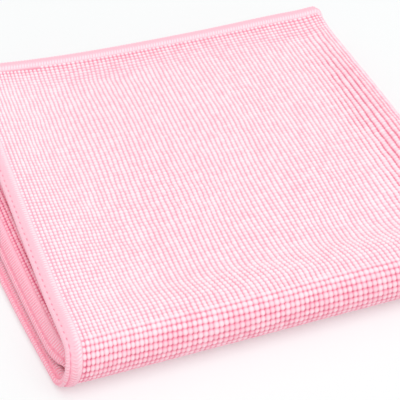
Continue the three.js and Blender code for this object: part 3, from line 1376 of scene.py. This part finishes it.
@dataclass
class HemSewing:
    """The hem's sewing: looper threads wrapped over the edge, and a row of needle stitches beside it."""

    end_gap: float = 1.0
    run_step: float = 0.4
    measured_at: float = 3.0
    thread_sides: int = 5
    wrap_pitch: float = 1.1
    wrap_spans: tuple[Span, ...] = ((0.2, 1.1), (1.9, 4.7))
    wrap_bow: float = 0.4
    bowed_width: float = 2.3
    wrap_points: int = 6
    wrap_radius: float = 0.34
    wrap_rise: float = 0.26
    inner_wrap_rise: float = 0.3
    wrap_scatter: float = 0.05
    wrap_margin: float = 0.4
    arch_cut: float = 0.08
    stitch_pitch: float = 2.9
    stitch_length: float = 1.6
    stitch_lengths: Span = (0.8, 1.15)
    stitch_at: float = 1.4
    stitch_slant: float = 0.1
    stitch_scatter: float = 0.06
    stitch_radius: float = 0.2
    stitch_rise: float = 0.06
    sunk_stitch_rise: float = -0.15
    wrap_seed: int = 23
    stitch_seed: int = 28
    pieces: list[bpy.types.Object] = field(default_factory=list, init=False)

    def edge_length(self, edge: Edge) -> float:
        """Length of one of the flat cloth's edges."""
        return FORM.along_size if edge.beside_ribs else FORM.across_size

    def edge_place(self, edge: Edge, run: Array, inward: Array) -> tuple[Array, Array]:
        """Places on the flat cloth beside one of its four edges.

        Args:
            edge: The edge.
            run: Distance along that edge.
            inward: Distance from that edge.

        Returns:
            The places across and along.
        """
        if edge is Edge.OUTER_LEAVES:
            return inward, run
        if edge is Edge.INNER_LEAVES:
            return FORM.across_size - inward, run
        if edge is Edge.TOP_BACK:
            return run, inward
        return run, FORM.along_size - inward

    def even_runs(self, edge: Edge, pitch: float, face: Face) -> Array:
        """Places along one edge that lie evenly on the face, also where it turns round a fold.

        Args:
            edge: The edge.
            pitch: The distance from one place to the next.
            face: The face that it is measured on.

        Returns:
            The distances along the edge.
        """
        run = np.arange(self.end_gap, self.edge_length(edge) - self.end_gap, self.run_step)
        across, along = self.edge_place(edge, run, np.full(run.shape, self.measured_at))
        points = FORM.place(across, along, HEM.half_thickness(across, along, face) * face.value)
        steps = np.linalg.norm(np.diff(points, axis=0), axis=1)
        travelled = np.concatenate([[0.0], np.cumsum(steps)]) / MM
        return np.interp(np.arange(pitch / 2, travelled[-1], pitch), travelled, run)

    def tree(self) -> bpy.types.NodeTree:
        """Makes a tree that gives each strand of its carrier a round section.

        Returns:
            The tree.
        """
        tree = new_tree(
            "run_threads",
            [
                ("Radius", "NodeSocketFloat", self.stitch_radius * MM),
                ("Sides", "NodeSocketInt", self.thread_sides),
                ("Finish", "NodeSocketMaterial", None),
            ],
        )
        given = add_node(tree, "NodeGroupInput").outputs
        strand = add_node(tree, "GeometryNodeMeshToCurve", {"Mesh": given["Carrier"]})
        ring = add_node(
            tree,
            "GeometryNodeCurvePrimitiveCircle",
            {"Resolution": given["Sides"], "Radius": given["Radius"]},
        )
        thread = add_node(
            tree,
            "GeometryNodeCurveToMesh",
            {"Curve": strand.outputs["Curve"], "Profile Curve": ring.outputs["Curve"], "Fill Caps": True},
        )
        end_tree(tree, thread.outputs["Mesh"], given["Finish"])
        return tree

    def lay(self, name: str, strands: list[Array], radius: float, finish: ThreadFinish) -> None:
        """Turns strands of points into round threads and keeps them as one piece.

        Args:
            name: The piece's name.
            strands: The points of each strand, in metres.
            radius: The thread's radius in mm.
            finish: The thread's finish.
        """
        edges = []
        first = 0
        for strand in strands:
            edges += [(first + i, first + i + 1) for i in range(len(strand) - 1)]
            first += len(strand)
        carrier = point_mesh(name, np.concatenate(strands), edges)
        values = {"Radius": radius * MM, "Sides": self.thread_sides, "Finish": finish.material()}
        self.pieces.append(grow(name, carrier, self.tree(), values))

    def strand(self, edge: Edge, run: Array, inward: Array, face: Face, rise: Array) -> Array:
        """Points of one strand on the hem's surface.

        Args:
            edge: The edge that the strand lies beside.
            run: Distances along that edge.
            inward: Distances from that edge.
            face: The face that the strand lies on.
            rise: Heights of the strand's middle over the surface, in mm.

        Returns:
            The points in metres.
        """
        across, along = self.edge_place(edge, run, inward)
        height = HEM.half_thickness(across, along, face) + rise
        across, along = FORM.round_corner(across, along)
        return FORM.place(across, along, height * face.value)

    def wrap(self, face: Face, edges: tuple[Edge, ...]) -> list[Array]:
        """The looper threads' bowed turns over one face, along the given edges.

        Args:
            face: The face that the turns lie on.
            edges: The edges that they wrap.

        Returns:
            The strands.
        """
        draw = np.random.default_rng(self.wrap_seed + face.value)
        share = np.linspace(0.0, 1.0, self.wrap_points)
        arch = np.sin(math.pi * np.clip(share, self.arch_cut, 1 - self.arch_cut))
        proud = self.wrap_rise if face is Face.OUTER else self.inner_wrap_rise
        strands = []
        for edge in edges:
            end = self.edge_length(edge) - self.wrap_margin
            for run in self.even_runs(edge, self.wrap_pitch, face):
                for low, high in self.wrap_spans:
                    bow = self.wrap_bow * (high - low) / self.bowed_width * arch
                    runs = np.clip(run + bow + draw.normal(0.0, self.wrap_scatter), self.wrap_margin, end)
                    inward = low + (high - low) * share
                    strands.append(self.strand(edge, runs, inward, face, proud * arch - self.wrap_radius))
        return strands

    def needle_row(self, face: Face) -> list[Array]:
        """The needle thread's short stitches over one face.

        Args:
            face: The face that the stitches lie on.

        Returns:
            The strands.
        """
        draw = np.random.default_rng(self.stitch_seed + face.value)
        ends = np.array([-1.0, 0.0, 1.0])
        strands = []
        for edge in Edge:
            crown = self.stitch_rise if edge.beside_ribs else self.sunk_stitch_rise
            dip = np.array([-self.stitch_radius, crown, -self.stitch_radius])
            for run in self.even_runs(edge, self.stitch_pitch, face):
                runs = run + ends * (self.stitch_length / 2 * draw.uniform(*self.stitch_lengths))
                inward = self.stitch_at + ends * self.stitch_slant + draw.normal(0.0, self.stitch_scatter)
                strands.append(self.strand(edge, runs, inward, face, dip))
        return strands

    def build(self) -> list[bpy.types.Object]:
        """Sews both faces of the hem.

        Returns:
            The threads' pieces and the stitches' piece.
        """
        pale = ThreadFinish("textured_polyester_looper_thread", "#ffccd9")
        # A shaded copy of the looper thread: painted shade, a deeper pink, for the threads inside the pile
        # and between the leaves.
        mid = ThreadFinish("textured_polyester_looper_thread_in_painted_shade", "#ffc8d6")
        deep = ThreadFinish("spun_polyester_needle_thread", "#f79db5")
        shaded = self.wrap(Face.OUTER, (Edge.INNER_LEAVES,)) + self.wrap(Face.INNER, tuple(Edge))
        shown = self.wrap(Face.OUTER, (Edge.OUTER_LEAVES, Edge.TOP_BACK, Edge.BOTTOM_BACK))
        self.lay("hem_wrap_outer", shown, self.wrap_radius, pale)
        self.lay("hem_wrap_inner", shaded, self.wrap_radius, mid)
        rows = self.needle_row(Face.OUTER) + self.needle_row(Face.INNER)
        self.lay("hem_stitches", rows, self.stitch_radius, deep)
        return self.pieces


@dataclass
class Studio:
    """Floor, light and camera. The camera stands where the photograph was taken from."""

    lens: float = 107.0
    sensor_width: float = 36.0
    clip_start_m: float = 0.01
    aim: tuple[float, float, float] = (68.35, 73.34, 0.0)
    distance: float = 432.9
    pitch: float = 41.32
    yaw: float = 19.66
    roll: float = 0.27
    floor_size_m: float = 6.0
    floor_colour: str = "#cacccc"
    floor_glow: float = 0.33
    floor_roughness: float = 0.9
    floor_specular: float = 0.1
    white: str = "#ffffff"
    room_strength: float = 0.71
    box_size_m: float = 1.4
    box_energy: float = 10.2
    box_place_m: tuple[float, float, float] = (0.12, -0.4, 1.3)

    def build(self) -> None:
        """Sets up the floor, the lights and the camera."""
        self.lay_floor()
        self.hang_lights()
        self.stand_camera()

    def lay_floor(self) -> None:
        """Lays a plain pale floor where the cloth rests: matt paper, with a glow that keeps it white."""
        half = self.floor_size_m / 2
        mesh = bpy.data.meshes.new("floor")
        corners = [(-half, -half, 0), (half, -half, 0), (half, half, 0), (-half, half, 0)]
        mesh.from_pydata(corners, [], [(0, 1, 2, 3)])
        floor = add_object("floor", mesh)
        made = bpy.data.materials.new("matt_white_sweep")
        made.use_nodes = True
        skin = made.node_tree.nodes["Principled BSDF"]
        skin.inputs["Base Color"].default_value = linear(self.floor_colour)
        skin.inputs["Roughness"].default_value = self.floor_roughness
        skin.inputs["Specular IOR Level"].default_value = self.floor_specular
        skin.inputs["Emission Color"].default_value = linear(self.white)
        skin.inputs["Emission Strength"].default_value = self.floor_glow
        mesh.materials.append(made)

    def hang_lights(self) -> None:
        """Hangs one wide soft box overhead in a white room, to the right and a little in front."""
        world = bpy.data.worlds.new("white_room")
        world.use_nodes = True
        background = world.node_tree.nodes["Background"]
        background.inputs["Color"].default_value = linear(self.white)
        background.inputs["Strength"].default_value = self.room_strength
        bpy.context.scene.world = world
        box = bpy.data.lights.new("soft_box", "AREA")
        box.shape = "SQUARE"
        box.size = self.box_size_m
        box.energy = self.box_energy
        lamp = add_object("soft_box", box)
        lamp.location = self.box_place_m
        lamp.rotation_euler = (-Vector(self.box_place_m)).to_track_quat("-Z", "Y").to_euler()

    def stand_camera(self) -> None:
        """Stands the camera at the angles and the distance that fit the photograph."""
        pitch, yaw, roll = (math.radians(a) for a in (self.pitch, self.yaw, self.roll))
        ahead = Vector((math.sin(yaw) * math.cos(pitch), math.cos(yaw) * math.cos(pitch), -math.sin(pitch)))
        level = Vector((math.cos(yaw), -math.sin(yaw), 0.0))
        upright = level.cross(ahead)
        right = level * math.cos(roll) + upright * math.sin(roll)
        up = upright * math.cos(roll) - level * math.sin(roll)
        place = (Vector(self.aim) + Vector(FORM.shift().tolist()) - ahead * self.distance) * MM
        turned = Matrix((right, up, -ahead)).transposed().to_4x4()
        lens = bpy.data.cameras.new("camera")
        lens.lens = self.lens
        lens.sensor_width = self.sensor_width
        lens.clip_start = self.clip_start_m
        camera = add_object("camera", lens)
        camera.matrix_world = Matrix.Translation(place) @ turned
        bpy.context.scene.camera = camera
        bpy.context.scene.view_settings.view_transform = "Standard"


def main() -> None:
    """Builds the cloth and its studio, logs each piece's triangles, attaches every piece to the root body
    and hides the model's part.
    """
    logging.basicConfig(level=logging.INFO, format="%(message)s")
    Studio().build()
    sheet = ClothSheet()
    sheet.build()
    sheet.dress()
    trimmings = KnitBeads().build() + HemSewing().build()
    for piece in [sheet.piece, *trimmings]:
        triangles = sum(len(face.vertices) - 2 for face in piece.data.polygons)
        log.info("%s: %d triangles", piece.name, triangles)
        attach(piece, "root")
    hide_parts(NODE)


if __name__ == "__main__":
    main()
